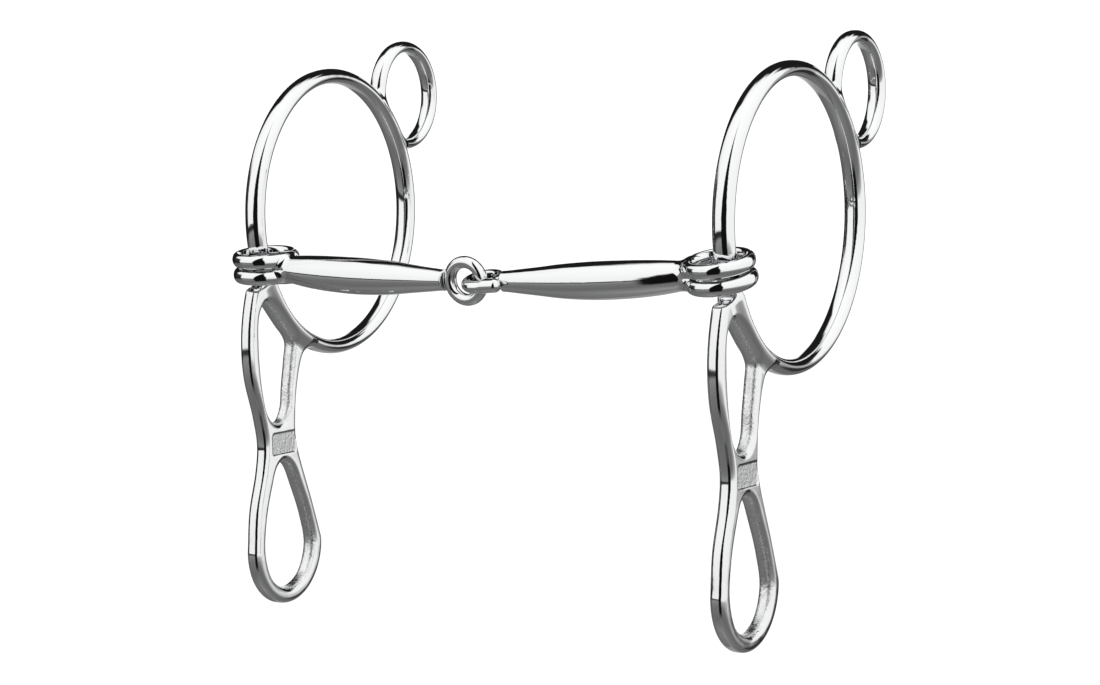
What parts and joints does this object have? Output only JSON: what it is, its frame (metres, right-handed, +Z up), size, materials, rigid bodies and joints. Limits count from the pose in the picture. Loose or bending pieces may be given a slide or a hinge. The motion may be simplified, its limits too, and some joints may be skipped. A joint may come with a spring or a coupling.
{
  "type": "curb bit",
  "caption": "Ring-cheek curb bit for a horse: single-jointed mouthpiece whose collars slide on round cheek rings, with round headstall loops and slotted rein shanks.",
  "frame": {"origin": "half way between the tops of the two headstall loops' holes, where the bridle carries the bit", "axes": "+X to the right cheek, +Y to the rear of the cheeks, where the headstall loops are, +Z up"},
  "size_m": [0.1448, 0.0926, 0.145],
  "materials": {
    "polished_steel": "mirror polished stainless steel",
    "cast_steel": "polished stainless casting, as cast in its slots and on its waist"
  },
  "bodies": {
    "left_cheek": {"left_ring": "polished_steel", "left_headstall_loop": "polished_steel", "left_shank": "cast_steel"},
    "left_arm": {"left_collar_upper_band": "polished_steel", "left_collar_lower_band": "polished_steel", "left_barrel": "polished_steel", "left_centre_eye": "polished_steel"},
    "right_arm": {"right_collar_upper_band": "polished_steel", "right_collar_lower_band": "polished_steel", "right_barrel": "polished_steel", "right_centre_eye": "polished_steel"},
    "right_cheek": {"right_ring": "polished_steel", "right_headstall_loop": "polished_steel", "right_shank": "cast_steel"}
  },
  "joints": [
    {"name": "left_ring_slide", "type": "hinge", "parent": "left_cheek", "child": "left_arm", "pos_m": [-0.0662, -0.0353, -0.04185], "axis": [-0.9998, -0.0209, 0], "range_deg": [-2, 130]},
    {"name": "centre_fold", "type": "hinge", "parent": "left_arm", "child": "right_arm", "pos_m": [0.00205, -0.07201, -0.05642], "axis": [0, 0, 1], "range_deg": [-110, 45]},
    {"name": "right_ring_slide", "type": "hinge", "parent": "right_arm", "child": "right_cheek", "pos_m": [0.0662, -0.0353, -0.04185], "axis": [0.9998, -0.0209, 0], "range_deg": [-2, 130]}
  ]
}
